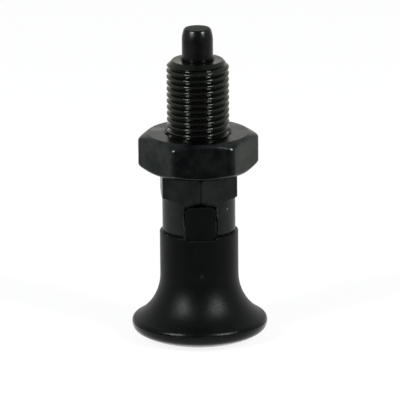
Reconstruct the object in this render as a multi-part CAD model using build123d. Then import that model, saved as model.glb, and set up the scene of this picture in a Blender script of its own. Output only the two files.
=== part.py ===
from build123d import *
import os
from math import acos, cos, radians, sin, sqrt, tan

# Indexing plunger with a rest position, an M10 x 1 threaded guide, a 5 mm pin and a lock nut.
# It stands on the end face of its knob. +Z runs along the axis from the knob to the pin.
# -Y is the side where one key of the knob shows in its slot. All sizes are millimetres.

# Heights up the axis, with the pin fully out
KNOB_TOP = 17.7
GUIDE_END = 18.0
HEX_BOTTOM = 23.35
HEX_TOP = 27.9
NUT_HEIGHT = 6.0
THREAD_END = 45.8
PIN_TIP = 51.0

# Guide: collar, hexagon, thread and bores
COLLAR_R = 5.86
HEX_ACROSS_FLATS = 12.0
HEX_CHAMFER_DEG = 30.0
SHOULDER_R = 5.9
THREAD_R = 5.0
THREAD_END_R = 4.3
RELIEF_R = 4.25
RELIEF_WIDTH = 1.6
PIN_BORE_R = 2.53
PIN_BORE_MOUTH_R = 2.8
CHAMBER_R = 3.5
CHAMBER_TOP = 37.5
CHAMBER_MOUTH_CHAMFER = 0.3
SLOT_WIDTH = 5.5
SLOT_ROOT_ARC_R = 7.4

# Lock nut
NUT_ACROSS_FLATS = 17.0
NUT_CORNER_R = 0.8
NUT_BORE_R = 5.03
NUT_MOUTH_R = 5.5
NUT_FACE_R = 8.05
NUT_CHAMFER_DEG = 25.0
NUT_TURN_DEG = 2.0

# Indexing pin
PIN_R = 2.5
NOSE_LENGTH = 2.0
NOSE_ARC_R = 5.0
PIN_FLANGE_R = 3.3
PIN_FLANGE_HEIGHT = 2.0
PIN_FLANGE_EDGE = 0.2
SHANK_R = 1.5
SHANK_END = 6.0
SHANK_CHAMFER = 0.4

# Spring and the bush that closes its chamber
BUSH_BOTTOM = 23.8
BUSH_TOP = 26.1
BUSH_BORE_R = 1.6
WIRE_D = 0.6
WIRE_SIDES = 6
COIL_R = 2.75
COIL_TURNS = 4.5

# Knob: neck, flare, rim, conical underside and flat foot of one moulded outline
NECK_R = 6.3
NECK_EDGE = 0.18
FLARE_ARC_R = 7.8
RIM_R = 10.88
RIM_HEIGHT = 2.3
RIM_ARC_R = 1.3
UNDERSIDE_DEG = 27.0
BORE_END_ROOM = 0.3

# Keys of the knob, which stand in the slot of the guide
KEY_WIDTH = 4.95
KEY_R = 5.8
KEY_TOP = 22.85
KEY_TOP_ARC_R = 6.8
KEY_CORNER_R = 0.5
KEY_NOTCH_DEPTH = 0.4

# Worked out from the sizes above
NUT_TOP = HEX_TOP + NUT_HEIGHT
PIN_FLANGE_BOTTOM = CHAMBER_TOP - PIN_FLANGE_HEIGHT
REACH = 2 * RIM_R


def turned(*outline):
    """One solid of revolution about Z from the lines of a closed half outline in the XZ plane."""
    section = make_face(Curve() + list(outline))
    return revolve(Plane.XZ * section, Axis.Z)


def disc(radius, bottom, top):
    """A plain cylinder about Z between two heights."""
    return Pos(0, 0, bottom) * extrude(Circle(radius), top - bottom)


def chamfered_hexagon(across_flats, edge_r, bottom, top, low_face_r, high_face_r, chamfer_deg):
    """A hexagon prism with upright edges rounded to edge_r and corners turned off to a cone at each face."""
    corner_r = across_flats / 2 / cos(radians(30))
    slope = tan(radians(chamfer_deg))
    barrel = turned(
        Polyline(
            (0, bottom),
            (low_face_r, bottom),
            (corner_r, bottom + (corner_r - low_face_r) * slope),
            (corner_r, top - (corner_r - high_face_r) * slope),
            (high_face_r, top),
            (0, top),
            close=True,
        )
    )
    section = RegularPolygon(across_flats / 2, 6, major_radius=False)
    if edge_r:
        section = fillet(section.vertices(), edge_r)
    return barrel & (Pos(0, 0, bottom) * extrude(section, top - bottom))


def slot_cutter():
    """The straight slot across the collar, open at the guide's end, with an arched root."""
    half = SLOT_WIDTH / 2
    root_side = HEX_BOTTOM - SLOT_ROOT_ARC_R + sqrt(SLOT_ROOT_ARC_R**2 - half**2)
    below = GUIDE_END - 1
    outline = Polyline((-half, root_side), (-half, below), (half, below), (half, root_side))
    root = ThreePointArc((half, root_side), (0, HEX_BOTTOM), (-half, root_side))
    return extrude(Plane.XZ * make_face(outline + root), REACH, both=True)


def guide_body():
    """Turned steel guide: slotted collar, hexagon, relief and fine thread, bored for the pin and its spring."""
    relief_top = HEX_TOP + RELIEF_WIDTH
    thread_shoulder = relief_top + (THREAD_R - RELIEF_R)
    end_chamfer = THREAD_R - THREAD_END_R
    stem = turned(
        Polyline(
            (0, GUIDE_END),
            (COLLAR_R, GUIDE_END),
            (COLLAR_R, HEX_BOTTOM),
            (RELIEF_R, HEX_BOTTOM),
            (RELIEF_R, relief_top),
            (THREAD_R, thread_shoulder),
            (THREAD_R, THREAD_END - end_chamfer),
            (THREAD_END_R, THREAD_END),
            (0, THREAD_END),
            close=True,
        )
    )
    hexagon = chamfered_hexagon(
        HEX_ACROSS_FLATS, 0, HEX_BOTTOM, HEX_TOP, COLLAR_R, SHOULDER_R, HEX_CHAMFER_DEG
    )
    mouth = PIN_BORE_MOUTH_R - PIN_BORE_R
    bore = turned(
        Polyline(
            (0, GUIDE_END),
            (CHAMBER_R + CHAMBER_MOUTH_CHAMFER, GUIDE_END),
            (CHAMBER_R, GUIDE_END + CHAMBER_MOUTH_CHAMFER),
            (CHAMBER_R, CHAMBER_TOP),
            (PIN_BORE_R, CHAMBER_TOP),
            (PIN_BORE_R, THREAD_END - mouth),
            (PIN_BORE_MOUTH_R, THREAD_END),
            (0, THREAD_END),
            close=True,
        )
    )
    return stem + Rot(0, 0, 30) * hexagon - bore - slot_cutter()


def lock_nut():
    """Thin hexagon nut, chamfered on both faces, its bore countersunk at both ends."""
    body = chamfered_hexagon(
        NUT_ACROSS_FLATS, NUT_CORNER_R, HEX_TOP, NUT_TOP, NUT_FACE_R, NUT_FACE_R, NUT_CHAMFER_DEG
    )
    mouth = NUT_MOUTH_R - NUT_BORE_R
    bore = turned(
        Polyline(
            (0, HEX_TOP),
            (NUT_MOUTH_R, HEX_TOP),
            (NUT_BORE_R, HEX_TOP + mouth),
            (NUT_BORE_R, NUT_TOP - mouth),
            (NUT_MOUTH_R, NUT_TOP),
            (0, NUT_TOP),
            close=True,
        )
    )
    return Rot(0, 0, NUT_TURN_DEG) * (body - bore)


def indexing_pin():
    """Pin with a rounded nose, a flange that stops it in the chamber, and a thin shank to the knob."""
    nose_foot = PIN_TIP - NOSE_LENGTH
    centre_r = PIN_R - NOSE_ARC_R
    half_up = NOSE_LENGTH / 2
    middle_r = centre_r + sqrt(NOSE_ARC_R**2 - half_up**2)
    tip_r = centre_r + sqrt(NOSE_ARC_R**2 - NOSE_LENGTH**2)
    return turned(
        Polyline(
            (0, PIN_TIP),
            (0, SHANK_END),
            (SHANK_R - SHANK_CHAMFER, SHANK_END),
            (SHANK_R, SHANK_END + SHANK_CHAMFER),
            (SHANK_R, PIN_FLANGE_BOTTOM),
            (PIN_FLANGE_R - PIN_FLANGE_EDGE, PIN_FLANGE_BOTTOM),
            (PIN_FLANGE_R, PIN_FLANGE_BOTTOM + PIN_FLANGE_EDGE),
            (PIN_FLANGE_R, CHAMBER_TOP - PIN_FLANGE_EDGE),
            (PIN_FLANGE_R - PIN_FLANGE_EDGE, CHAMBER_TOP),
            (PIN_R, CHAMBER_TOP),
            (PIN_R, nose_foot),
        ),
        ThreePointArc((PIN_R, nose_foot), (middle_r, nose_foot + half_up), (tip_r, PIN_TIP)),
        Line((tip_r, PIN_TIP), (0, PIN_TIP)),
    )


def spring_bush():
    """Bush pressed into the chamber behind the spring, with a running bore for the shank."""
    return disc(CHAMBER_R, BUSH_BOTTOM, BUSH_TOP) - disc(BUSH_BORE_R, BUSH_BOTTOM, BUSH_TOP)


def compression_spring():
    """Right-hand spring wound on an even pitch, both ends ground flat."""
    length = PIN_FLANGE_BOTTOM - BUSH_TOP
    path = Pos(0, 0, BUSH_TOP) * Helix(length / COIL_TURNS, length, COIL_R)
    start = Plane(path @ 0, z_dir=path % 0)
    wire = sweep(start * RegularPolygon(WIRE_D / 2, WIRE_SIDES), path=path, is_frenet=True)
    return wire & disc(COIL_R + WIRE_D, BUSH_TOP, PIN_FLANGE_BOTTOM)


def knob_moulding():
    """Form of the knob before its keys: neck, concave flare, rounded rim, conical underside and flat foot."""
    rim_centre_r = RIM_R - RIM_ARC_R
    flare_centre_r = NECK_R + FLARE_ARC_R
    turn = acos((flare_centre_r - rim_centre_r) / (FLARE_ARC_R + RIM_ARC_R))
    neck_bottom_z = RIM_HEIGHT + (FLARE_ARC_R + RIM_ARC_R) * sin(turn)
    handle = 4 / 3 * tan(turn / 4) * FLARE_ARC_R
    flare_end_r = rim_centre_r + RIM_ARC_R * cos(turn)
    flare_end_z = RIM_HEIGHT + RIM_ARC_R * sin(turn)
    underside = radians(UNDERSIDE_DEG)
    rim_end_r = rim_centre_r + RIM_ARC_R * sin(underside)
    rim_end_z = RIM_HEIGHT - RIM_ARC_R * cos(underside)
    foot_r = rim_end_r - rim_end_z / tan(underside)
    flare = Bezier(
        (NECK_R, neck_bottom_z),
        (NECK_R, neck_bottom_z - handle),
        (flare_end_r - handle * sin(turn), flare_end_z + handle * cos(turn)),
        (flare_end_r, flare_end_z),
    )
    rim = ThreePointArc((flare_end_r, flare_end_z), (RIM_R, RIM_HEIGHT), (rim_end_r, rim_end_z))
    rest = Polyline(
        (rim_end_r, rim_end_z),
        (foot_r, 0),
        (0, 0),
        (0, KNOB_TOP),
        (NECK_R - NECK_EDGE, KNOB_TOP),
        (NECK_R, KNOB_TOP - NECK_EDGE),
        (NECK_R, neck_bottom_z),
    )
    return turned(flare, rim, rest)


def key_bar():
    """Bar across the knob whose two ends are the keys, with an arched top and rounded corners."""
    half = KEY_WIDTH / 2
    side_top = KEY_TOP - KEY_TOP_ARC_R + sqrt(KEY_TOP_ARC_R**2 - half**2)
    foot = KNOB_TOP - KEY_NOTCH_DEPTH
    sides = Polyline((-half, side_top), (-half, foot), (half, foot), (half, side_top))
    arch = ThreePointArc((half, side_top), (0, KEY_TOP), (-half, side_top))
    section = make_face(sides + arch)
    section = fillet(section.vertices().sort_by(Axis.Y)[-2:], KEY_CORNER_R)
    bar = extrude(Plane.XZ * section, REACH, both=True)
    return bar & disc(KEY_R, foot, KEY_TOP)


def pull_knob():
    """Moulded knob with its two keys, notched where the keys leave the neck, and bored for the shank."""
    foot = KNOB_TOP - KEY_NOTCH_DEPTH
    notch = Pos(0, 0, foot) * Box(
        KEY_WIDTH, REACH * 2, KEY_TOP, align=(Align.CENTER, Align.CENTER, Align.MIN)
    )
    bore = disc(SHANK_R, SHANK_END - BORE_END_ROOM, KEY_TOP)
    return knob_moulding() - notch + key_bar() - bore


PARTS = {
    "guide_body": guide_body,
    "spring_bush": spring_bush,
    "compression_spring": compression_spring,
    "indexing_pin": indexing_pin,
    "pull_knob": pull_knob,
    "lock_nut": lock_nut,
}

os.makedirs("parts", exist_ok=True)
for name, make in PARTS.items():
    export_step(make(), f"parts/{name}.step")
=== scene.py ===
"""Visual model of an indexing plunger: threaded guide, lock nut, pin, spring, bush and pull knob.

Meshes are built in millimetres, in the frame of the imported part, and scaled to metres when they are finished.
The plunger stands on its knob. +Z runs up the axis to the pin, and -Y is the side where a key shows in its slot.
"""

import logging
from collections.abc import Callable, Iterable
from dataclasses import dataclass
from enum import Enum
from functools import cache
from math import acos, asin, atan2, cos, pi, radians, sin, sqrt, tan

import bmesh
import bpy
from bmesh.types import BMEdge, BMesh, BMVert
from mathutils import Matrix, Vector


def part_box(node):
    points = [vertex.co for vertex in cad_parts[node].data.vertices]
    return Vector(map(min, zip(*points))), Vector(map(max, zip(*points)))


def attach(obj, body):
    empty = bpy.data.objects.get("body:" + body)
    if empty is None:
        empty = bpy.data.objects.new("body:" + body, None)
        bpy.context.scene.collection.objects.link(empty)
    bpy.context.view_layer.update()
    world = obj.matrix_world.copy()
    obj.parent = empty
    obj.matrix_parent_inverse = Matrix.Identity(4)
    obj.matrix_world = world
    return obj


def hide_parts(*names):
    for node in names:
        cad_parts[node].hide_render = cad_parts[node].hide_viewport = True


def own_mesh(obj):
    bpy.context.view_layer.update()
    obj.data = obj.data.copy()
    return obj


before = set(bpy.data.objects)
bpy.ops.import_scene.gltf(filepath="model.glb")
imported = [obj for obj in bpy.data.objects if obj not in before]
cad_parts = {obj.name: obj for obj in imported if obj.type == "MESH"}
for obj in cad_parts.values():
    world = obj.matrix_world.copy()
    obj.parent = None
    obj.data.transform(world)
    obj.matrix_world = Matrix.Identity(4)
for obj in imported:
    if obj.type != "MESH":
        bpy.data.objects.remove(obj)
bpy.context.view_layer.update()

LOG = logging.getLogger("indexing_plunger")
MM = 0.001
ORIGIN = Vector((0.0, 0.0, 0.0))
UP = Vector((0.0, 0.0, 1.0))
WELD = 0.004
TURNED_STEPS = 108
SMOOTH_DEG = 34.0

Point = tuple[float, float]
Colour = tuple[float, float, float]


class Carve(Enum):
    """How a second solid acts on the first."""

    CUT = "DIFFERENCE"
    JOIN = "UNION"
    KEEP = "INTERSECT"


@cache
def height_span(node: str) -> Point:
    """Lowest and highest level of a CAD node, in millimetres."""
    low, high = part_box(node)
    return low.z / MM, high.z / MM


def arc(centre: Point, radius: float, start_deg: float, end_deg: float, segments: int) -> list[Point]:
    """Points of an arc in the half plane of an outline.

    Args:
        centre: Radius and height of the arc's centre.
        radius: The arc's own radius.
        start_deg: Angle of the first point, from the outward direction and up.
        end_deg: Angle of the last point.
        segments: How many chords the arc is drawn with.

    Returns:
        The points from start to end, both included.
    """
    turns = [radians(start_deg + (end_deg - start_deg) * i / segments) for i in range(segments + 1)]
    return [(centre[0] + radius * cos(turn), centre[1] + radius * sin(turn)) for turn in turns]


def eased(corners: list[Point], cuts: list[float], segments: int) -> list[Point]:
    """Outline whose corners are rounded by arcs.

    Args:
        corners: Sharp corners of an open outline.
        cuts: How much of each side of a corner its arc takes, 0 for a corner that stays sharp.
        segments: How many chords each arc is drawn with.

    Returns:
        The outline with its arcs.
    """
    points: list[Point] = []
    for index, (corner, cut) in enumerate(zip(corners, cuts)):
        if not cut:
            points.append(corner)
            continue
        here = Vector(corner)
        start = here + (Vector(corners[index - 1]) - here).normalized() * cut
        end = here + (Vector(corners[index + 1]) - here).normalized() * cut
        half = (start - here).angle(end - here) / 2
        radius = cut * tan(half)
        centre = here + ((start + end) / 2 - here).normalized() * (cut / cos(half))
        first = atan2(start.y - centre.y, start.x - centre.x) * 180 / pi
        last = atan2(end.y - centre.y, end.x - centre.x) * 180 / pi
        turn = (last - first + 180) % 360 - 180
        points += arc((centre.x, centre.y), radius, first, first + turn, segments)
    return points


def wire(bm: BMesh, outline: list[Point], closed: bool) -> list[BMVert | BMEdge]:
    """Draws an outline in the half plane y = 0.

    Args:
        bm: Mesh that takes the outline.
        outline: Radius and height of each point.
        closed: Whether the last point joins the first.

    Returns:
        The new vertices and edges.
    """
    verts = [bm.verts.new((r, 0.0, z)) for r, z in outline]
    following = verts[1:] + verts[:1] if closed else verts[1:]
    return verts + [bm.edges.new(pair) for pair in zip(verts, following)]


def weld(bm: BMesh) -> None:
    """Merges doubles, drops what has collapsed and points every face outwards."""
    bmesh.ops.remove_doubles(bm, verts=bm.verts, dist=WELD)
    bmesh.ops.dissolve_degenerate(bm, edges=bm.edges, dist=WELD / 4)
    bmesh.ops.recalc_face_normals(bm, faces=bm.faces)


def spin_full(bm: BMesh, geom: list[BMVert | BMEdge], steps: int) -> None:
    """Spins an outline once round the axis and closes it on itself."""
    bmesh.ops.spin(
        bm, geom=geom, cent=ORIGIN, axis=UP, dvec=ORIGIN, angle=2 * pi, steps=steps,
        use_merge=True, use_normal_flip=False, use_duplicate=False,
    )


def turned(outline: list[Point], closed: bool = True, steps: int = TURNED_STEPS) -> BMesh:
    """A solid of revolution about the axis.

    Args:
        outline: Radius and height of each point of the half section.
        closed: True for a ring, False for an outline whose two ends lie on the axis.
        steps: Facets in a full turn.

    Returns:
        A new mesh.
    """
    bm = bmesh.new()
    spin_full(bm, wire(bm, outline, closed), steps)
    weld(bm)
    return bm


def prism_across(outline: list[Point], half_length: float) -> BMesh:
    """A straight prism along Y, its section drawn in the XZ plane.

    Args:
        outline: X and Z of each corner of the section.
        half_length: How far it reaches to each side of the axis.

    Returns:
        A new mesh.
    """
    bm = bmesh.new()
    face = bm.faces.new([bm.verts.new((x, -half_length, z)) for x, z in outline])
    grown = bmesh.ops.extrude_face_region(bm, geom=[face])["geom"]
    far = [item for item in grown if isinstance(item, BMVert)]
    bmesh.ops.translate(bm, verts=far, vec=(0.0, 2 * half_length, 0.0))
    bmesh.ops.recalc_face_normals(bm, faces=bm.faces)
    return bm


def mesh_of(bm: BMesh, name: str) -> bpy.types.Mesh:
    """Hands a finished bmesh over to a mesh of that name."""
    mesh = bpy.data.meshes.new(name)
    bm.to_mesh(mesh)
    bm.free()
    return mesh


def carved(blank: BMesh, tool: BMesh, how: Carve) -> BMesh:
    """One solid cut by, joined to or kept within another, with the exact solver.

    Args:
        blank: Solid that is worked on. It is used up.
        tool: Solid that acts on it. It is used up.
        how: What the tool does.

    Returns:
        The new solid.
    """
    scene = bpy.context.scene.collection
    pair = [bpy.data.objects.new(name, mesh_of(bm, name)) for name, bm in (("blank", blank), ("tool", tool))]
    for thing in pair:
        scene.objects.link(thing)
    modifier = pair[0].modifiers.new("carve", "BOOLEAN")
    modifier.operation = how.value
    modifier.solver = "EXACT"
    modifier.object = pair[1]
    result = bmesh.new()
    result.from_mesh(pair[0].evaluated_get(bpy.context.evaluated_depsgraph_get()).data)
    for thing in pair:
        mesh = thing.data
        bpy.data.objects.remove(thing)
        bpy.data.meshes.remove(mesh)
    weld(result)
    return result


def sharp_edges(bm: BMesh, above_deg: float, where: Callable[[Vector], bool]) -> list[BMEdge]:
    """Edges whose two faces meet at more than an angle, and whose middle is in a region.

    Args:
        bm: Mesh that is searched.
        above_deg: Smallest angle between the faces' normals.
        where: Says of an edge's middle whether it counts.

    Returns:
        The edges found.
    """
    limit = radians(above_deg)
    middles = ((edge, (edge.verts[0].co + edge.verts[1].co) / 2) for edge in bm.edges)
    return [edge for edge, middle in middles if edge.calc_face_angle(0.0) > limit and where(middle)]


def soften(bm: BMesh, edges: Iterable[BMEdge], width: float, segments: int) -> None:
    """Rounds edges over to a width, with that many strips."""
    bmesh.ops.bevel(
        bm, geom=list(edges), offset=width, offset_type="OFFSET", segments=segments, profile=0.5,
        affect="EDGES", clamp_overlap=True, material=-1, loop_slide=True,
    )


@dataclass(frozen=True)
class ThreadForm:
    """Section of the fine thread: 60 degree flanks, rounded crest and root."""

    crest_r: float
    pitch: float = 1.0
    crest_flat: float = 0.2
    crest_round: float = 0.08
    root_round: float = 0.06
    flank_deg: float = 60.0
    first_crest_z: float = 0.6
    round_segments: int = 2

    @property
    def root_r(self) -> float:
        """Radius of the bottom of the groove, where the two roundings meet the flanks."""
        lean = radians(self.flank_deg)
        run = (self.pitch - self.crest_flat) / 2 - (self.crest_round + self.root_round) * sin(lean)
        return self.crest_r - (self.crest_round + self.root_round) * (1 - cos(lean)) - run * tan(lean)

    def one_pitch(self) -> list[Point]:
        """Outline of one pitch, from root to root, with its crest in the middle."""
        low_crest = (self.crest_r - self.crest_round, -self.crest_flat / 2)
        high_crest = (self.crest_r - self.crest_round, self.crest_flat / 2)
        low_root = (self.root_r + self.root_round, -self.pitch / 2)
        high_root = (self.root_r + self.root_round, self.pitch / 2)
        n = self.round_segments
        return (
            arc(low_root, self.root_round, 180, 180 - self.flank_deg, n)
            + arc(low_crest, self.crest_round, -self.flank_deg, 0, n)
            + arc(high_crest, self.crest_round, 0, self.flank_deg, n)
            + arc(high_root, self.root_round, 180 + self.flank_deg, 180, n)
        )

    def rolled(self, bm: BMesh, low: float, high: float, limit: Callable[[float, float], float]) -> None:
        """Screws the outline up the axis between two levels and runs it out at both ends.

        Args:
            bm: Mesh that takes the thread. Its rings at both levels weld to the outline that meets them.
            low: Level where the thread starts.
            high: Level where it stops.
            limit: Given a radius and a level, the radius that the run-outs leave.
        """
        start = low - self.pitch - (low - self.first_crest_z) % self.pitch
        turns = int((high - start) / self.pitch) + 2
        geom = wire(bm, [(r, start + z) for r, z in self.one_pitch()], closed=False)
        bmesh.ops.spin(
            bm, geom=geom, cent=ORIGIN, axis=UP, dvec=UP * self.pitch / TURNED_STEPS, angle=2 * pi,
            steps=TURNED_STEPS, use_merge=False, use_normal_flip=False, use_duplicate=False,
        )
        first_turn = bm.verts[:] + bm.edges[:] + bm.faces[:]
        for turn in range(1, turns):
            copy = bmesh.ops.duplicate(bm, geom=first_turn)["geom"]
            moved = [item for item in copy if isinstance(item, BMVert)]
            bmesh.ops.translate(bm, verts=moved, vec=UP * self.pitch * turn)
        for vert in bm.verts:
            level = min(max(vert.co.z, low), high)
            radius = vert.co.xy.length
            share = limit(radius, level) / radius
            vert.co = (vert.co.x * share, vert.co.y * share, level)


@dataclass
class Piece:
    """What every piece has: its name, the body it rides on, the CAD node it stands for and its slot."""

    name: str
    body: str
    node: str
    slot: str

    def finish(self, bm: BMesh, material: bpy.types.Material) -> bpy.types.Object:
        """Scales the mesh to metres, dresses it and puts it on its body.

        Args:
            bm: The finished shape, in millimetres. It is used up.
            material: Its finish.

        Returns:
            The new object, at the origin.
        """
        bmesh.ops.scale(bm, verts=bm.verts, vec=(MM, MM, MM))
        mesh = mesh_of(bm, self.name)
        mesh.materials.append(material)
        mesh.shade_smooth()
        mesh.set_sharp_from_angle(angle=radians(SMOOTH_DEG))
        piece = bpy.data.objects.new(self.name, mesh)
        bpy.context.scene.collection.objects.link(piece)
        even = piece.modifiers.new("even_normals", "WEIGHTED_NORMAL")
        even.keep_sharp = True
        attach(piece, self.body)
        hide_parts(self.node)
        LOG.info("%s: %d faces on body %s", self.name, len(mesh.polygons), self.body)
        return piece


@dataclass
class Guide(Piece):
    """Turned steel guide: slotted collar, hexagon, relief and rolled thread, bored for the pin and its spring."""

    name: str = "guide_turned"
    body: str = "guide"
    node: str = "guide_body"
    slot: str = "guide_steel"
    collar_r: float = 5.86
    hex_bottom: float = 23.35
    hex_top: float = 27.9
    hex_flat_r: float = 6.0
    hex_barrel_r: float = 6.86
    hex_chamfer_deg: float = 30.0
    shoulder_r: float = 5.9
    relief_r: float = 4.25
    relief_width: float = 1.6
    thread_r: float = 5.0
    thread_end_r: float = 4.08
    bore_r: float = 2.53
    bore_mouth_r: float = 2.8
    chamber_r: float = 3.5
    chamber_top: float = 37.5
    chamber_chamfer: float = 0.3
    slot_half: float = 2.75
    slot_root_arc_r: float = 7.4
    edge_round: float = 0.09
    mouth_round: float = 0.12

    def blank_outline(self) -> list[Point]:
        """Outline of the turned blank from the thread's end face down the bore and up the outside to the relief."""
        end, top = height_span(self.node)
        slope = tan(radians(self.hex_chamfer_deg))
        low_cone = self.hex_bottom + (self.hex_barrel_r - self.collar_r) * slope
        high_cone = self.hex_top - (self.hex_barrel_r - self.shoulder_r) * slope
        edge = self.edge_round
        rim = self.mouth_round
        mouth_cone = top - (self.bore_mouth_r - self.bore_r)
        return [
            (self.thread_end_r, top),
            *arc((self.bore_mouth_r + rim, top - rim), rim, 90, 150, 3),
            (self.bore_r, mouth_cone - rim),
            (self.bore_r, self.chamber_top),
            (self.chamber_r, self.chamber_top),
            (self.chamber_r, end + self.chamber_chamfer),
            (self.chamber_r + self.chamber_chamfer, end),
            *arc((self.collar_r - edge, end + edge), edge, -90, 0, 3),
            (self.collar_r, self.hex_bottom),
            (self.hex_barrel_r, low_cone),
            (self.hex_barrel_r, high_cone),
            (self.shoulder_r, self.hex_top),
            (self.relief_r, self.hex_top),
            (self.relief_r, self.hex_top + self.relief_width),
        ]

    def run_out(self, radius: float, level: float) -> float:
        """Radius that the relief and the end chamfer leave at a level."""
        top = height_span(self.node)[1]
        relief_top = self.hex_top + self.relief_width
        return min(radius, self.relief_r + level - relief_top, self.thread_end_r + top - level)

    def slot_cutter(self) -> BMesh:
        """The straight slot across the collar, open at the guide's end, with an arched root."""
        end = height_span(self.node)[0]
        centre = (0.0, self.hex_bottom - self.slot_root_arc_r)
        lean = 90 - asin(self.slot_half / self.slot_root_arc_r) * 180 / pi
        root = arc(centre, self.slot_root_arc_r, lean, 180 - lean, 10)
        below = end - 1.0
        return prism_across([(-self.slot_half, below), (self.slot_half, below), *root], self.hex_barrel_r * 2)

    def cut_flats(self, bm: BMesh) -> None:
        """Mills the six flats of the hexagon, whose corners stand at the front and the back."""
        for side in range(6):
            normal = Matrix.Rotation(radians(60 * side), 3, "Z") @ Vector((1.0, 0.0, 0.0))
            cut = bmesh.ops.bisect_plane(
                bm, geom=bm.verts[:] + bm.edges[:] + bm.faces[:], dist=WELD / 4,
                plane_co=normal * self.hex_flat_r, plane_no=normal, clear_outer=True,
            )
            rim = [item for item in cut["geom_cut"] if isinstance(item, BMEdge)]
            bmesh.ops.holes_fill(bm, edges=rim, sides=0)

    def shape(self) -> BMesh:
        """The whole guide, in millimetres."""
        top = height_span(self.node)[1]
        bm = bmesh.new()
        thread = ThreadForm(crest_r=self.thread_r)
        thread.rolled(bm, self.hex_top + self.relief_width, top, self.run_out)
        spin_full(bm, wire(bm, self.blank_outline(), closed=False), TURNED_STEPS)
        weld(bm)
        self.cut_flats(bm)
        bm = carved(bm, self.slot_cutter(), Carve.CUT)
        soften(bm, sharp_edges(bm, 25, self.is_milled), self.edge_round, 2)
        return bm

    def is_milled(self, place: Vector) -> bool:
        """Whether a place is on the collar, its slot or the outside of the hexagon."""
        return place.z < self.hex_top + WELD and place.xy.length > self.chamber_r + WELD


@dataclass
class LockNut(Piece):
    """Thin hexagon nut with well rounded edges, chamfered on both faces, with a countersunk thread."""

    name: str = "nut_hexagon"
    body: str = "nut"
    node: str = "lock_nut"
    slot: str = "nut_steel"
    flat_r: float = 8.5
    face_r: float = 8.05
    chamfer_deg: float = 25.0
    corner_round: float = 1.05
    flat_edge_cut: float = 0.44
    face_edge_cut: float = 0.05
    mouth_r: float = 5.5
    thread_root_r: float = 5.04
    thread_crest_r: float = 4.47
    flat_deg: float = 32.0
    steps: int = 216
    nick_height: float = 2.4
    nick_r: float = 0.6
    nick_depth: float = 0.16

    def run_out(self, radius: float, level: float) -> float:
        """Radius that the two countersinks and the bore of the thread leave at a level."""
        low, high = height_span(self.node)
        return max(radius, self.thread_crest_r, self.mouth_r - level + low, self.mouth_r - high + level)

    def reach(self, azimuth: float) -> float:
        """Radius of the rounded hexagon in a direction.

        Args:
            azimuth: Angle from the middle of a flat, in radians.

        Returns:
            Distance from the axis to the wall, in millimetres.
        """
        half = pi / 6
        off_flat = (azimuth + half) % (2 * half) - half
        if abs(tan(off_flat)) <= (self.flat_r - self.corner_round) * tan(half) / self.flat_r:
            return self.flat_r / cos(off_flat)
        off_corner = half - abs(off_flat)
        centre = (self.flat_r - self.corner_round) / cos(half)
        return centre * cos(off_corner) + sqrt(self.corner_round**2 - (centre * sin(off_corner)) ** 2)

    def side_outline(self, wall_r: float) -> list[Point]:
        """Outline of the nut's outside where its wall stands at a radius, from the lower face to the upper."""
        low, high = height_span(self.node)
        drop = (wall_r - self.face_r) * tan(radians(self.chamfer_deg))
        corners = [
            (self.mouth_r, low),
            (self.face_r, low),
            (wall_r, low + drop),
            (wall_r, high - drop),
            (self.face_r, high),
            (self.mouth_r, high),
        ]
        cuts = [0.0, self.face_edge_cut, self.flat_edge_cut, self.flat_edge_cut, self.face_edge_cut, 0.0]
        return eased(corners, cuts, 6)[1:-1]

    def crowd(self, azimuth: float) -> float:
        """Draws the evenly spun directions towards the corners, where the wall turns."""
        half = pi / 6
        off_flat = (azimuth + half) % (2 * half) - half
        share = off_flat / half
        return azimuth - off_flat + half * share * (1.5 - 0.5 * share**2)

    def shell(self, bm: BMesh) -> None:
        """Spins the outside and presses every ring of it to the hexagon."""
        row = bm.verts.layers.int.new("row")
        geom = wire(bm, self.side_outline(self.flat_r), closed=False)
        for index, vert in enumerate(item for item in geom if isinstance(item, BMVert)):
            vert[row] = index
        spin_full(bm, geom, self.steps)
        outlines: dict[float, list[Point]] = {}
        for vert in bm.verts:
            azimuth = self.crowd(atan2(vert.co.y, vert.co.x))
            wall_r = round(self.reach(azimuth), 5)
            if wall_r not in outlines:
                outlines[wall_r] = self.side_outline(wall_r)
            radius, level = outlines[wall_r][vert[row]]
            turn = azimuth + radians(self.flat_deg)
            vert.co = (radius * cos(turn), radius * sin(turn), level)

    def nick(self) -> BMesh:
        """Small ball that dents the corner at the left."""
        low = height_span(self.node)[0]
        heading = Matrix.Rotation(radians(150 + self.flat_deg), 3, "Z") @ Vector((1.0, 0.0, 0.0))
        place = heading * (self.reach(pi / 6) + self.nick_r - self.nick_depth) + UP * (low + self.nick_height)
        bm = bmesh.new()
        bmesh.ops.create_icosphere(bm, subdivisions=2, radius=self.nick_r, matrix=Matrix.Translation(place))
        return bm

    def shape(self) -> BMesh:
        """The whole nut, in millimetres."""
        low, high = height_span(self.node)
        bm = bmesh.new()
        self.shell(bm)
        inside = bmesh.new()
        ThreadForm(crest_r=self.thread_root_r).rolled(inside, low, high, self.run_out)
        weld(inside)
        thread = mesh_of(inside, "nut_thread")
        bm.from_mesh(thread)
        bpy.data.meshes.remove(thread)
        for level in (low, high):
            rims = [edge for edge in bm.edges if edge.is_boundary and abs(edge.verts[0].co.z - level) < WELD]
            bmesh.ops.triangle_fill(bm, edges=rims, use_beauty=True, use_dissolve=False, normal=UP)
        weld(bm)
        return carved(bm, self.nick(), Carve.CUT)


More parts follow.
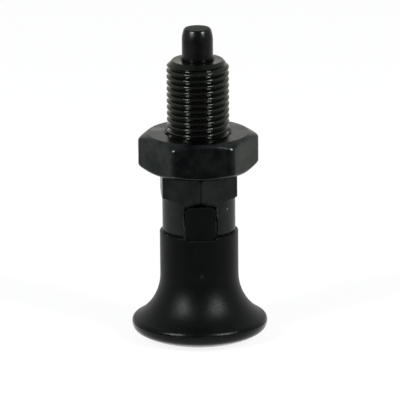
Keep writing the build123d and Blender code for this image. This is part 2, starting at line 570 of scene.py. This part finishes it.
@dataclass
class Pin(Piece):
    """Ground pin with a rounded nose, a flange that stops it in the chamber, and a shank to the knob."""

    name: str = "pin_ground"
    body: str = "plunger"
    node: str = "indexing_pin"
    slot: str = "pin_steel"
    pin_r: float = 2.5
    nose_length: float = 2.0
    nose_arc_r: float = 5.0
    tip_round: float = 0.45
    flange_r: float = 3.3
    flange_bottom: float = 35.5
    flange_top: float = 37.5
    flange_edge: float = 0.2
    shank_r: float = 1.5
    shank_chamfer: float = 0.4

    def shape(self) -> BMesh:
        """The whole pin, in millimetres."""
        end, tip = height_span(self.node)
        foot = tip - self.nose_length
        centre = (self.pin_r - self.nose_arc_r, foot)
        lean = asin((self.nose_length - self.tip_round) / self.nose_arc_r) * 180 / pi
        nose = arc(centre, self.nose_arc_r, 0, lean, 12)
        tip_r = nose[-1][0]
        edge = self.tip_round
        outline = [
            (0.0, end),
            (self.shank_r - self.shank_chamfer, end),
            (self.shank_r, end + self.shank_chamfer),
            (self.shank_r, self.flange_bottom),
            (self.flange_r - self.flange_edge, self.flange_bottom),
            (self.flange_r, self.flange_bottom + self.flange_edge),
            (self.flange_r, self.flange_top - self.flange_edge),
            (self.flange_r - self.flange_edge, self.flange_top),
            (self.pin_r, self.flange_top),
            *nose,
            *arc((tip_r - edge, tip - edge), edge, 30, 90, 4),
            (0.0, tip),
        ]
        return turned(outline, closed=False)


@dataclass
class Bush(Piece):
    """Bush pressed into the chamber behind the spring."""

    name: str = "bush_turned"
    body: str = "guide"
    node: str = "spring_bush"
    slot: str = "bush_steel"
    outer_r: float = 3.5
    bore_r: float = 1.6
    chamfer: float = 0.15

    def shape(self) -> BMesh:
        """The bush with its small chamfers, in millimetres."""
        low, high = height_span(self.node)
        cut = self.chamfer
        return turned(
            [
                (self.bore_r + cut, low),
                (self.outer_r - cut, low),
                (self.outer_r, low + cut),
                (self.outer_r, high - cut),
                (self.outer_r - cut, high),
                (self.bore_r + cut, high),
                (self.bore_r, high - cut),
                (self.bore_r, low + cut),
            ]
        )


@dataclass
class Spring(Piece):
    """Right-hand compression spring, ground flat at both ends."""

    name: str = "spring_coiled"
    body: str = "guide"
    node: str = "compression_spring"
    slot: str = "spring_steel"
    joint: str = "knob_pull"
    wire_r: float = 0.3
    wire_sides: int = 14
    coil_r: float = 2.75
    turns: float = 4.5
    steps_per_turn: int = 48

    def shape(self) -> BMesh:
        """The coiled wire, in millimetres."""
        low, high = height_span(self.node)
        pitch = (high - low) / self.turns
        lead = Matrix.Rotation(pi / 2 + asin(pitch / (2 * pi * self.coil_r)), 4, "X")
        bm = bmesh.new()
        bmesh.ops.create_circle(bm, cap_ends=False, segments=self.wire_sides, radius=self.wire_r, matrix=lead)
        bmesh.ops.translate(bm, verts=bm.verts, vec=(self.coil_r, 0.0, low))
        steps = round(self.steps_per_turn * self.turns)
        bmesh.ops.spin(
            bm, geom=bm.verts[:] + bm.edges[:], cent=ORIGIN, axis=UP, dvec=UP * (high - low) / steps,
            angle=2 * pi * self.turns, steps=steps, use_merge=False, use_normal_flip=False, use_duplicate=False,
        )
        for level, normal in ((low, -UP), (high, UP)):
            cut = bmesh.ops.bisect_plane(
                bm, geom=bm.verts[:] + bm.edges[:] + bm.faces[:], dist=WELD / 4,
                plane_co=UP * level, plane_no=normal, clear_outer=True,
            )
            del cut
        open_rims = [edge for edge in bm.edges if edge.is_boundary]
        bmesh.ops.holes_fill(bm, edges=open_rims, sides=0)
        weld(bm)
        return bm

    def flatten_with_knob(self, piece: bpy.types.Object) -> None:
        """Gives the coil a mesh of its own."""
        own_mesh(piece)


@dataclass
class Knob(Piece):
    """Moulded pull knob: neck, concave flare, rounded rim, and two keys that stand in the guide's slot."""

    name: str = "knob_moulded"
    body: str = "plunger"
    node: str = "pull_knob"
    slot: str = "knob_plastic"
    neck_top: float = 17.7
    neck_r: float = 6.3
    neck_edge: float = 0.2
    flare_arc_r: float = 8.1
    rim_height: float = 2.45
    rim_band: float = 0.22
    rim_upper_arc_r: float = 0.85
    rim_lower_arc_r: float = 1.42
    rim_lower_deg: float = 58.0
    parting_deg: float = 10.0
    parting_half: float = 0.08
    parting_depth: float = 0.1
    foot_r: float = 6.7
    underside_segments: int = 8
    key_half: float = 2.41
    key_r: float = 5.8
    key_top_arc_r: float = 6.8
    key_corner_r: float = 0.5
    key_notch_depth: float = 0.4
    shank_r: float = 1.5
    bore_bottom: float = 5.7
    edge_round: float = 0.12

    @property
    def rim_r(self) -> float:
        """Radius of the widest ring of the knob."""
        low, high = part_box(self.node)
        return (high.x - low.x) / 2 / MM

    def underside(self) -> list[Point]:
        """Gently bowed cone from the end of the rim's lower arc to the foot."""
        lean = radians(self.rim_lower_deg)
        centre_r = self.rim_r - self.rim_lower_arc_r
        start = Vector((centre_r + self.rim_lower_arc_r * cos(lean), self.rim_height - self.rim_lower_arc_r * sin(lean)))
        heading = Vector((-sin(lean), -cos(lean)))
        end = Vector((self.foot_r, 0.0))
        chord = end - start
        corner = start + heading * chord.length / (2 * heading.dot(chord.normalized()))
        shares = [i / self.underside_segments for i in range(1, self.underside_segments + 1)]
        bowed = [start * (1 - s) ** 2 + corner * 2 * s * (1 - s) + end * s**2 for s in shares]
        return [(point.x, point.y) for point in bowed]

    def moulding_outline(self) -> list[Point]:
        """Half outline of the knob without its keys, from the foot to the top."""
        upper_centre = (self.rim_r - self.rim_upper_arc_r, self.rim_height + self.rim_band)
        lower_centre = (self.rim_r - self.rim_lower_arc_r, self.rim_height)
        reach = self.flare_arc_r + self.rim_upper_arc_r
        turn = acos((self.neck_r + self.flare_arc_r - upper_centre[0]) / reach) * 180 / pi
        neck_bottom = upper_centre[1] + reach * sin(radians(turn))
        flare_centre = (self.neck_r + self.flare_arc_r, neck_bottom)
        edge = self.neck_edge
        lip = self.parting_half / self.rim_upper_arc_r * 180 / pi
        groove = arc(upper_centre, self.rim_upper_arc_r - self.parting_depth, self.parting_deg, self.parting_deg, 1)
        return [
            (0.0, 0.0),
            *reversed(self.underside()),
            *arc(lower_centre, self.rim_lower_arc_r, -self.rim_lower_deg, 0, 10),
            *arc(upper_centre, self.rim_upper_arc_r, 0, self.parting_deg - lip, 2),
            groove[0],
            *arc(upper_centre, self.rim_upper_arc_r, self.parting_deg + lip, turn, 10),
            *arc(flare_centre, self.flare_arc_r, 180 + turn, 180, 28)[1:],
            *arc((self.neck_r - edge, self.neck_top - edge), edge, 0, 90, 3),
            (0.0, self.neck_top),
        ]

    def key_bar(self) -> BMesh:
        """Bar across the knob whose two ends are the keys, with an arched top and rounded corners."""
        foot = self.neck_top - self.key_notch_depth
        key_top = height_span(self.node)[1]
        arch_z = key_top - self.key_top_arc_r
        inner = self.key_top_arc_r - self.key_corner_r
        corner_x = self.key_half - self.key_corner_r
        lean = acos(corner_x / inner) * 180 / pi
        corner_z = arch_z + sqrt(inner**2 - corner_x**2)
        right = arc((corner_x, corner_z), self.key_corner_r, 0, lean, 4)
        top = arc((0.0, arch_z), self.key_top_arc_r, lean, 180 - lean, 8)[1:-1]
        left = arc((-corner_x, corner_z), self.key_corner_r, 180 - lean, 180, 4)
        bar = prism_across([(-self.key_half, foot), (self.key_half, foot), *right, *top, *left], self.key_r * 2)
        round_ends = [(0.0, foot - 1), (self.key_r, foot - 1), (self.key_r, key_top + 1), (0.0, key_top + 1)]
        return carved(bar, turned(round_ends, closed=False), Carve.KEEP)

    def notch(self) -> BMesh:
        """Shallow channel across the top of the neck, where the keys stand back from it."""
        foot = self.neck_top - self.key_notch_depth
        half, above = self.key_half, self.neck_top + 1
        return prism_across([(-half, foot), (half, foot), (half, above), (-half, above)], self.neck_r * 2)

    def bore(self) -> BMesh:
        """Hole that takes the shank of the pin."""
        above = height_span(self.node)[1] + 1
        wall = [(0.0, self.bore_bottom), (self.shank_r, self.bore_bottom), (self.shank_r, above), (0.0, above)]
        return turned(wall, closed=False, steps=48)

    def shape(self) -> BMesh:
        """The whole knob, in millimetres."""
        bm = turned(self.moulding_outline(), closed=False, steps=144)
        bm = carved(bm, self.notch(), Carve.CUT)
        bm = carved(bm, self.key_bar(), Carve.JOIN)
        bm = carved(bm, self.bore(), Carve.CUT)
        outside = self.shank_r + WELD
        top = self.neck_top - self.key_notch_depth - WELD
        edges = sharp_edges(bm, 25, lambda place: place.z > top and place.xy.length > outside)
        soften(bm, edges, self.edge_round, 2)
        return bm


class Graph:
    """Short way to place and link shader nodes in one tree."""

    def __init__(self, tree: bpy.types.NodeTree) -> None:
        """Keeps the tree that the nodes go into."""
        self.tree = tree

    def add(self, kind: str, inputs: dict | None = None, **settings: object) -> bpy.types.Node:
        """Places a node.

        Args:
            kind: Type of the node, without its ShaderNode prefix.
            inputs: Values or sockets for its inputs, by name or number.
            settings: Attributes of the node itself.

        Returns:
            The new node.
        """
        node = self.tree.nodes.new("ShaderNode" + kind)
        for name, value in settings.items():
            setattr(node, name, value)
        for key, value in (inputs or {}).items():
            if isinstance(value, bpy.types.NodeSocket):
                self.tree.links.new(value, node.inputs[key])
            else:
                node.inputs[key].default_value = value
        return node

    def math(self, operation: str, *values: object) -> bpy.types.NodeSocket:
        """Result of a Math node on up to three values or sockets."""
        return self.add("Math", dict(enumerate(values)), operation=operation).outputs[0]

    def vector(self, operation: str, *values: object) -> bpy.types.NodeSocket:
        """Vector result of a Vector Math node."""
        return self.add("VectorMath", dict(enumerate(values)), operation=operation).outputs["Vector"]

    def mix(self, factor: object, first: object, second: object) -> bpy.types.NodeSocket:
        """Colour between two, by a factor that varies over the surface."""
        node = self.add("Mix", {0: factor, 6: first, 7: second}, data_type="RGBA")
        return node.outputs[2]

    def ramp(self, value: object, low: float, high: float, start: float = 0.0, end: float = 1.0) -> bpy.types.NodeSocket:
        """Smooth step of a value from start to end as it goes from low to high."""
        node = self.add(
            "MapRange", {0: value, 1: low, 2: high, 3: start, 4: end}, interpolation_type="SMOOTHSTEP"
        )
        return node.outputs[0]


def group_tree(name: str, inputs: dict[str, str], outputs: dict[str, str]) -> tuple[Graph, dict]:
    """Starts a shader node group.

    Args:
        name: Name of the group.
        inputs: Socket type of each input, by name.
        outputs: Socket type of each output, by name.

    Returns:
        The graph to fill in, and its input sockets by name. Its outputs are set through close_group.
    """
    tree = bpy.data.node_groups.new(name, "ShaderNodeTree")
    for socket, kind in inputs.items():
        tree.interface.new_socket(socket, in_out="INPUT", socket_type="NodeSocket" + kind)
    for socket, kind in outputs.items():
        tree.interface.new_socket(socket, in_out="OUTPUT", socket_type="NodeSocket" + kind)
    source = tree.nodes.new("NodeGroupInput")
    return Graph(tree), {socket: source.outputs[socket] for socket in inputs}


def close_group(graph: Graph, results: dict[str, bpy.types.NodeSocket]) -> bpy.types.NodeTree:
    """Links a group's results to its output node and returns the tree."""
    sink = graph.tree.nodes.new("NodeGroupOutput")
    for name, socket in results.items():
        graph.tree.links.new(socket, sink.inputs[name])
    return graph.tree


def make_cut_marks() -> bpy.types.NodeTree:
    """Fine rings that a turning tool leaves: they follow the radius on a face and the height on a wall."""
    graph, given = group_tree("cut_marks", {"Vector": "Vector", "Lines per mm": "Float"}, {"Height": "Float"})
    split = graph.add("SeparateXYZ", {0: graph.vector("MULTIPLY", given["Vector"], (1 / MM, 1 / MM, 1 / MM))})
    flat = graph.add("CombineXYZ", {0: split.outputs[0], 1: split.outputs[1]}).outputs[0]
    radius = graph.add("VectorMath", {0: flat}, operation="LENGTH").outputs["Value"]
    lines = given["Lines per mm"]
    rings = graph.add("CombineXYZ", {
        0: graph.math("MULTIPLY", radius, lines),
        1: graph.math("MULTIPLY", split.outputs[2], lines),
    }).outputs[0]
    fine = graph.add("TexNoise", {"Vector": rings, "Scale": 1.0, "Detail": 2.0, "Roughness": 0.6})
    return close_group(graph, {"Height": fine.outputs[0]})


def make_mottle() -> bpy.types.NodeTree:
    """Uneven oxide: cloudy patches with a finer speckle in them."""
    graph, given = group_tree("mottle", {"Vector": "Vector", "Size mm": "Float"}, {"Tone": "Float"})
    scale = graph.math("DIVIDE", 1 / MM, given["Size mm"])
    cloud = graph.add("TexNoise", {"Vector": given["Vector"], "Scale": scale, "Detail": 5.0, "Roughness": 0.62})
    return close_group(graph, {"Tone": graph.ramp(cloud.outputs[0], 0.3, 0.7)})


def make_edge_wear_and_highlight_mask() -> bpy.types.NodeTree:
    """Mask of edges, broken up by a noise: where handling has thinned the finish, and on the plastic also a painted
    highlight for light caught on the rounded edges.
    """
    graph, given = group_tree("edge_wear_and_highlight_mask", {"Vector": "Vector", "Breadth": "Float"}, {"Mask": "Float"})
    soft = graph.add("Bevel", {"Radius": given["Breadth"]}, samples=6)
    normal = graph.add("NewGeometry").outputs["Normal"]
    facing = graph.add("VectorMath", {0: soft.outputs[0], 1: normal}, operation="DOT_PRODUCT").outputs["Value"]
    edge = graph.ramp(facing, 0.995, 0.88)
    patch = graph.add("TexNoise", {"Vector": given["Vector"], "Scale": 0.9 / MM, "Detail": 3.0})
    broken = graph.ramp(patch.outputs[0], 0.35, 0.65, 0.25, 1.0)
    return close_group(graph, {"Mask": graph.math("MULTIPLY", edge, broken)})


def make_blemish() -> bpy.types.NodeTree:
    """Mask of one ragged spot at a place on the piece."""
    kinds = {"Vector": "Vector", "Centre": "Vector", "Radius": "Float", "Ragged": "Float"}
    graph, given = group_tree("blemish", kinds, {"Mask": "Float"})
    noise = graph.add("TexNoise", {"Vector": given["Vector"], "Scale": 3.0 / MM, "Detail": 4.0})
    gap = graph.add("VectorMath", {0: given["Vector"], 1: given["Centre"]}, operation="DISTANCE").outputs["Value"]
    share = graph.math("DIVIDE", gap, given["Radius"])
    swing = graph.math("MULTIPLY", graph.math("SUBTRACT", noise.outputs[0], 0.5), given["Ragged"])
    return close_group(graph, {"Mask": graph.ramp(graph.math("ADD", share, swing), 1.0, 0.55)})


def make_mould_grain() -> bpy.types.NodeTree:
    """Fine spark-eroded grain of a moulded surface."""
    graph, given = group_tree("mould_grain", {"Vector": "Vector", "Size mm": "Float"}, {"Height": "Float"})
    scale = graph.math("DIVIDE", 1 / MM, given["Size mm"])
    pits = graph.add("TexNoise", {"Vector": given["Vector"], "Scale": scale, "Detail": 3.0, "Roughness": 0.7})
    return close_group(graph, {"Height": pits.outputs[0]})


class Effects:
    """Shader groups that the finishes share, each built once."""

    def __init__(self) -> None:
        """Builds every group."""
        self.cut_marks = make_cut_marks()
        self.mottle = make_mottle()
        self.edge_wear_and_highlight_mask = make_edge_wear_and_highlight_mask()
        self.blemish = make_blemish()
        self.mould_grain = make_mould_grain()


@dataclass(frozen=True)
class Blemish:
    """One spot on a finish, in millimetres."""

    centre: tuple[float, float, float]
    radius: float
    ragged: float
    colour: Colour


@dataclass(frozen=True)
class Zone:
    """Part of a piece above a level, in millimetres, with a finish of its own."""

    level: float
    colour: Colour
    roughness: float
    metallic: float


@dataclass(frozen=True)
class BlackenedSteel:
    """Steel with a thin black oxide over tool marks, worn a little at its edges."""

    name: str
    colour: Colour
    patch_colour: Colour
    bare_colour: Colour
    roughness: float
    marks_per_mm: float
    marks_depth: float
    patch_size: float = 2.6
    wear_breadth: float = 0.09
    wear: float = 0.5
    edge_tint: Colour = (0.80, 0.80, 0.77)
    zone: Zone | None = None
    blemishes: tuple[Blemish, ...] = ()

    def material(self, effects: Effects) -> bpy.types.Material:
        """Builds the material.

        Args:
            effects: The shared shader groups.

        Returns:
            A new material.
        """
        material = bpy.data.materials.new(self.name)
        material.use_nodes = True
        graph = Graph(material.node_tree)
        shader = graph.tree.nodes["Principled BSDF"]
        place = graph.add("TexCoord").outputs["Object"]
        patch = graph.add("Group", node_tree=effects.mottle)
        patch.inputs["Size mm"].default_value = self.patch_size
        graph.tree.links.new(place, patch.inputs["Vector"])
        tone = graph.mix(patch.outputs[0], (*self.colour, 1.0), (*self.patch_colour, 1.0))
        edge = graph.add("Group", node_tree=effects.edge_wear_and_highlight_mask)
        edge.inputs["Breadth"].default_value = self.wear_breadth * MM
        graph.tree.links.new(place, edge.inputs["Vector"])
        worn = graph.math("MULTIPLY", edge.outputs[0], self.wear)
        tone = graph.mix(worn, tone, (*self.bare_colour, 1.0))
        for blemish in self.blemishes:
            tone = add_blemish(graph, effects, place, tone, blemish)
        rough = graph.ramp(patch.outputs[0], 0.0, 1.0, self.roughness * 0.86, self.roughness * 1.14)
        shader.inputs["Metallic"].default_value = 1.0
        shader.inputs["Specular Tint"].default_value = (*self.edge_tint, 1.0)
        if self.zone:
            height = graph.add("SeparateXYZ", {0: place}).outputs[2]
            above = graph.ramp(height, (self.zone.level - 0.02) * MM, (self.zone.level + 0.02) * MM)
            tone = graph.mix(above, tone, (*self.zone.colour, 1.0))
            rough = graph.add("Mix", {0: above, 2: rough, 3: self.zone.roughness}).outputs[0]
            metal = graph.add("Mix", {0: above, 2: 1.0, 3: self.zone.metallic}).outputs[0]
            graph.tree.links.new(metal, shader.inputs["Metallic"])
        graph.tree.links.new(tone, shader.inputs["Base Color"])
        graph.tree.links.new(rough, shader.inputs["Roughness"])
        rings = graph.add("Group", node_tree=effects.cut_marks)
        rings.inputs["Lines per mm"].default_value = self.marks_per_mm
        graph.tree.links.new(place, rings.inputs["Vector"])
        bump = graph.add("Bump", {"Height": rings.outputs[0], "Distance": self.marks_depth * MM})
        graph.tree.links.new(bump.outputs[0], shader.inputs["Normal"])
        return material


def add_blemish(
    graph: Graph, effects: Effects, place: bpy.types.NodeSocket, tone: bpy.types.NodeSocket, blemish: Blemish
) -> bpy.types.NodeSocket:
    """Lays one blemish over a colour.

    Args:
        graph: Tree of the material.
        effects: The shared shader groups.
        place: Object coordinates.
        tone: Colour under the blemish.
        blemish: The spot.

    Returns:
        The colour with the spot on it.
    """
    spot = graph.add("Group", node_tree=effects.blemish)
    spot.inputs["Centre"].default_value = [value * MM for value in blemish.centre]
    spot.inputs["Radius"].default_value = blemish.radius * MM
    spot.inputs["Ragged"].default_value = blemish.ragged
    graph.tree.links.new(place, spot.inputs["Vector"])
    return graph.mix(spot.outputs[0], tone, (*blemish.colour, 1.0))


@dataclass(frozen=True)
class MouldedPlastic:
    """Matte black thermoplastic with the fine grain of its mould."""

    name: str
    colour: Colour
    rubbed_colour: Colour
    roughness: float
    specular_level: float
    grain_size: float
    grain_depth: float
    rim_level: float
    rim_roughness: float
    # Lighter edge colour: partly scuffed wear, partly a painted highlight standing in for light caught on the
    # rounded edges.
    wear_and_highlight_colour: Colour = (0.050, 0.054, 0.050)
    edge_breadth: float = 0.13
    wear_and_highlight_share: float = 0.28
    blemishes: tuple[Blemish, ...] = ()

    def material(self, effects: Effects) -> bpy.types.Material:
        """Builds the material.

        Args:
            effects: The shared shader groups.

        Returns:
            A new material.
        """
        material = bpy.data.materials.new(self.name)
        material.use_nodes = True
        graph = Graph(material.node_tree)
        shader = graph.tree.nodes["Principled BSDF"]
        place = graph.add("TexCoord").outputs["Object"]
        patch = graph.add("Group", node_tree=effects.mottle)
        patch.inputs["Size mm"].default_value = 3.5
        graph.tree.links.new(place, patch.inputs["Vector"])
        tone = graph.mix(patch.outputs[0], (*self.colour, 1.0), (*self.rubbed_colour, 1.0))
        edge = graph.add("Group", node_tree=effects.edge_wear_and_highlight_mask)
        edge.inputs["Breadth"].default_value = self.edge_breadth * MM
        graph.tree.links.new(place, edge.inputs["Vector"])
        # Painted highlight: the edges take a lighter colour, partly as scuffed wear and partly for light caught on
        # their rounding.
        tone = graph.mix(graph.math("MULTIPLY", edge.outputs[0], self.wear_and_highlight_share), tone, (*self.wear_and_highlight_colour, 1.0))
        for blemish in self.blemishes:
            tone = add_blemish(graph, effects, place, tone, blemish)
        graph.tree.links.new(tone, shader.inputs["Base Color"])
        grain = graph.add("Group", node_tree=effects.mould_grain)
        grain.inputs["Size mm"].default_value = self.grain_size
        graph.tree.links.new(place, grain.inputs["Vector"])
        rough = graph.ramp(grain.outputs[0], 0.3, 0.7, self.roughness * 0.85, self.roughness * 1.15)
        height = graph.add("SeparateXYZ", {0: place}).outputs[2]
        above = graph.ramp(height, (self.rim_level - 0.25) * MM, (self.rim_level + 0.25) * MM)
        rough = graph.add("Mix", {0: above, 2: self.rim_roughness, 3: rough}).outputs[0]
        graph.tree.links.new(rough, shader.inputs["Roughness"])
        shader.inputs["Specular IOR Level"].default_value = self.specular_level
        bump = graph.add("Bump", {"Height": grain.outputs[0], "Distance": self.grain_depth * MM})
        graph.tree.links.new(bump.outputs[0], shader.inputs["Normal"])
        return material


@dataclass(frozen=True)
class Softbox:
    """Tall strip light that faces the plunger."""

    name: str
    azimuth_deg: float
    elevation_deg: float
    distance: float
    width: float
    height: float
    radiance: float
    colour: Colour = (0.93, 0.97, 1.0)

    def place(self, aim: Vector) -> None:
        """Adds the light.

        Args:
            aim: Point that it faces, in metres.
        """
        light = bpy.data.lights.new(self.name, "AREA")
        light.shape = "RECTANGLE"
        light.color = self.colour
        light.size = self.width
        light.size_y = self.height
        light.energy = self.radiance * pi * self.width * self.height
        lamp = bpy.data.objects.new(self.name, light)
        side = direction(self.azimuth_deg, self.elevation_deg)
        lamp.location = aim + side * self.distance
        lamp.rotation_euler = side.to_track_quat("Z", "Y").to_euler()
        lamp.visible_camera = False
        bpy.context.scene.collection.objects.link(lamp)


def direction(azimuth_deg: float, elevation_deg: float) -> Vector:
    """Unit vector from the plunger; azimuth 0 is towards -Y and grows towards +X."""
    azimuth, elevation = radians(azimuth_deg), radians(elevation_deg)
    return Vector((sin(azimuth) * cos(elevation), -cos(azimuth) * cos(elevation), sin(elevation)))


@dataclass
class Studio:
    """White sweep, pale floor, two strip lights and the camera."""

    camera_azimuth_deg: float = -3.2
    camera_elevation_deg: float = 15.6
    camera_distance: float = 1.0
    pixels_per_mm: float = 6.235
    frame_pixels: int = 400
    aim_mm: tuple[float, float, float] = (0.2, 0.0, 22.55)
    roll_deg: float = -0.5
    floor_half: float = 1.2
    floor_colour: float = 0.92
    floor_glow_share: float = 0.87
    ambient: float = 0.36
    front_reflection: float = 0.125
    back_reflection: float = 0.87
    overhead_reflection: float = 0.5
    near_reflection: float = 1.5
    reflection_power: float = 0.85

    def build(self) -> None:
        """Builds the whole set."""
        self.place_camera()
        for lamp in self.lamps():
            lamp.place(UP * 0.026)
        self.light_world()
        self.lay_floor()
        bpy.context.scene.view_settings.view_transform = "Standard"

    def lamps(self) -> list[Softbox]:
        """The two strips, one to each side of the camera."""
        left = self.camera_azimuth_deg - 48
        right = self.camera_azimuth_deg + 49
        return [
            Softbox("strip_left", left, 34, 0.6, 0.12, 0.28, 36.0),
            Softbox("strip_right", right, 34, 0.6, 0.12, 0.28, 36.0),
        ]

    def place_camera(self) -> None:
        """Sets the camera where the plunger shows at its scale in the frame."""
        lens = bpy.data.cameras.new("camera")
        camera = bpy.data.objects.new("camera", lens)
        away = direction(self.camera_azimuth_deg, self.camera_elevation_deg)
        camera.location = Vector(self.aim_mm) * MM + away * self.camera_distance
        turn = away.to_track_quat("Z", "Y").to_matrix() @ Matrix.Rotation(radians(self.roll_deg), 3, "Z")
        camera.rotation_euler = turn.to_euler()
        shown = self.frame_pixels / self.pixels_per_mm * MM
        lens.lens = lens.sensor_width * self.camera_distance / shown
        lens.clip_start = 0.01
        bpy.context.scene.collection.objects.link(camera)
        bpy.context.scene.camera = camera

    def surround(self, graph: Graph, heading: bpy.types.NodeSocket) -> bpy.types.NodeSocket:
        """How bright the set is in a direction: white behind the plunger, dim on the camera's side.

        Args:
            graph: Tree that takes the nodes.
            heading: Vector from the plunger to the place that is seen.

        Returns:
            Its strength, where 1 is white.
        """
        level = graph.vector("MULTIPLY", heading, (1.0, 1.0, 0.0))
        even = graph.vector("NORMALIZE", level)
        front = direction(self.camera_azimuth_deg, 0)
        facing = graph.add("VectorMath", {0: even, 1: front}, operation="DOT_PRODUCT").outputs["Value"]
        away = graph.math("MULTIPLY_ADD", facing, -0.5, 0.5)
        rise = graph.math("POWER", away, self.reflection_power)
        return graph.math("MULTIPLY_ADD", rise, self.back_reflection - self.front_reflection, self.front_reflection)

    def light_world(self) -> None:
        """White to the camera, the set's own brightness in reflections, plain soft light on the pieces."""
        world = bpy.data.worlds.new("studio")
        bpy.context.scene.world = world
        world.use_nodes = True
        graph = Graph(world.node_tree)
        background = graph.tree.nodes["Background"]
        rays = graph.add("LightPath")
        heading = graph.add("TexCoord").outputs["Generated"]
        height = graph.add("SeparateXYZ", {0: heading}).outputs[2]
        dimming = graph.ramp(height, 0.3, 0.9, 1.0, self.overhead_reflection)
        mirrored = graph.math("MULTIPLY", self.surround(graph, heading), dimming)
        reflected = graph.math("MAXIMUM", rays.outputs["Is Glossy Ray"], rays.outputs["Is Transmission Ray"])
        plain = graph.add("Mix", {0: reflected, 2: self.ambient, 3: mirrored}).outputs[0]
        seen = graph.add("Mix", {0: rays.outputs["Is Camera Ray"], 2: plain, 3: 1.0}).outputs[0]
        graph.tree.links.new(seen, background.inputs["Strength"])
        background.inputs["Color"].default_value = (1.0, 1.0, 1.0, 1.0)

    def lay_floor(self) -> None:
        """Pale floor that keeps a soft shadow and meets the white background. In reflections it glows instead, dim
        towards the camera and bright behind, with a painted pool of light near the plunger.
        """
        bm = bmesh.new()
        bmesh.ops.create_grid(bm, x_segments=1, y_segments=1, size=self.floor_half)
        bmesh.ops.translate(bm, verts=bm.verts, vec=(0.0, 0.0, -0.00002))
        floor = bpy.data.objects.new("floor", mesh_of(bm, "floor"))
        bpy.context.scene.collection.objects.link(floor)
        material = bpy.data.materials.new("pale_floor")
        material.use_nodes = True
        graph = Graph(material.node_tree)
        graph.tree.nodes.remove(graph.tree.nodes["Principled BSDF"])
        rays = graph.add("LightPath")
        lit = graph.add("BsdfDiffuse", {"Color": (self.floor_colour,) * 3 + (1.0,)})
        white = graph.add("Emission", {"Strength": 1.0})
        spot = graph.add("TexCoord").outputs["Object"]
        gap = graph.add("VectorMath", {0: spot}, operation="LENGTH").outputs["Value"]
        # Painted pool of light: in reflections the floor glows brighter within a few centimetres of the plunger.
        painted_pool_glow = graph.ramp(gap, 0.014, 0.034, self.near_reflection, 0.0)
        shine = graph.add("Emission", {"Strength": graph.math("MAXIMUM", self.surround(graph, spot), painted_pool_glow)})
        share = graph.math("MULTIPLY", rays.outputs["Is Camera Ray"], self.floor_glow_share)
        seen = graph.add("MixShader", {0: share, 1: lit.outputs[0], 2: white.outputs[0]})
        reflected = graph.math("MAXIMUM", rays.outputs["Is Glossy Ray"], rays.outputs["Is Transmission Ray"])
        surface = graph.add("MixShader", {0: reflected, 1: seen.outputs[0], 2: shine.outputs[0]})
        sink = graph.tree.nodes["Material Output"]
        graph.tree.links.new(surface.outputs[0], sink.inputs["Surface"])
        floor.data.materials.append(material)


def main() -> None:
    """Builds the set, then each piece in order from the guide outwards."""
    logging.basicConfig(level=logging.INFO, format="%(name)s: %(message)s")
    Studio().build()
    effects = Effects()
    thread_zone = Zone(28.4, (0.038, 0.042, 0.036), 0.125, 0.958)
    guide_finish = BlackenedSteel(
        "guide_black_steel", (0.031, 0.037, 0.036), (0.045, 0.051, 0.049), (0.22, 0.22, 0.22), 0.27, 9.0, 0.004,
        zone=thread_zone,
        blemishes=(
            Blemish((4.34, -3.94, 22.08), 0.16, 0.6, (0.40, 0.36, 0.22)),
            Blemish((3.29, -5.03, 25.53), 0.12, 0.6, (0.09, 0.10, 0.09)),
        ),
    )
    nut_finish = BlackenedSteel(
        "nut_black_steel", (0.018, 0.024, 0.025), (0.047, 0.052, 0.051), (0.20, 0.20, 0.20), 0.27, 6.0, 0.004,
        wear=0.3,
        blemishes=(
            Blemish((7.05, 1.33, 33.9), 1.1, 1.6, (0.010, 0.012, 0.010)),
            Blemish((-6.47, 2.24, 33.9), 1.5, 1.4, (0.12, 0.125, 0.12)),
            Blemish((6.33, 4.21, 33.9), 1.2, 1.4, (0.10, 0.105, 0.10)),
        ),
    )
    tip_zone = Zone(50.97, (0.012, 0.014, 0.010), 0.9, 0.25)
    pin_finish = BlackenedSteel(
        "pin_black_steel", (0.020, 0.022, 0.020), (0.032, 0.033, 0.032), (0.20, 0.20, 0.20), 0.27, 14.0, 0.002,
        edge_tint=(0.95, 0.95, 0.92),
        zone=tip_zone,
    )
    wire_finish = BlackenedSteel(
        "spring_wire_steel", (0.42, 0.42, 0.43), (0.50, 0.50, 0.50), (0.60, 0.60, 0.60), 0.30, 4.0, 0.002
    )
    bush_finish = BlackenedSteel(
        "bush_black_steel", (0.05, 0.052, 0.054), (0.07, 0.07, 0.07), (0.25, 0.25, 0.25), 0.32, 8.0, 0.004
    )
    knob_finish = MouldedPlastic(
        "knob_black_plastic", (0.0007, 0.0014, 0.0010), (0.0014, 0.0022, 0.0016), 0.36, 0.108, 0.34, 0.04, 3.2, 0.2,
        blemishes=(
            Blemish((0.06, -6.3, 11.52), 0.42, 1.0, (0.0065, 0.0075, 0.0042)),
            Blemish((-5.27, -3.21, 17.68), 0.12, 0.5, (0.10, 0.10, 0.08)),
        ),
    )
    guide = Guide()
    guide.finish(guide.shape(), guide_finish.material(effects))
    nut = LockNut()
    nut.finish(nut.shape(), nut_finish.material(effects))
    pin = Pin()
    pin.finish(pin.shape(), pin_finish.material(effects))
    bush = Bush()
    bush.finish(bush.shape(), bush_finish.material(effects))
    knob = Knob()
    knob.finish(knob.shape(), knob_finish.material(effects))
    spring = Spring()
    coil = spring.finish(spring.shape(), wire_finish.material(effects))
    coil.modifiers.clear()
    spring.flatten_with_knob(coil)


if __name__ == "__main__":
    main()
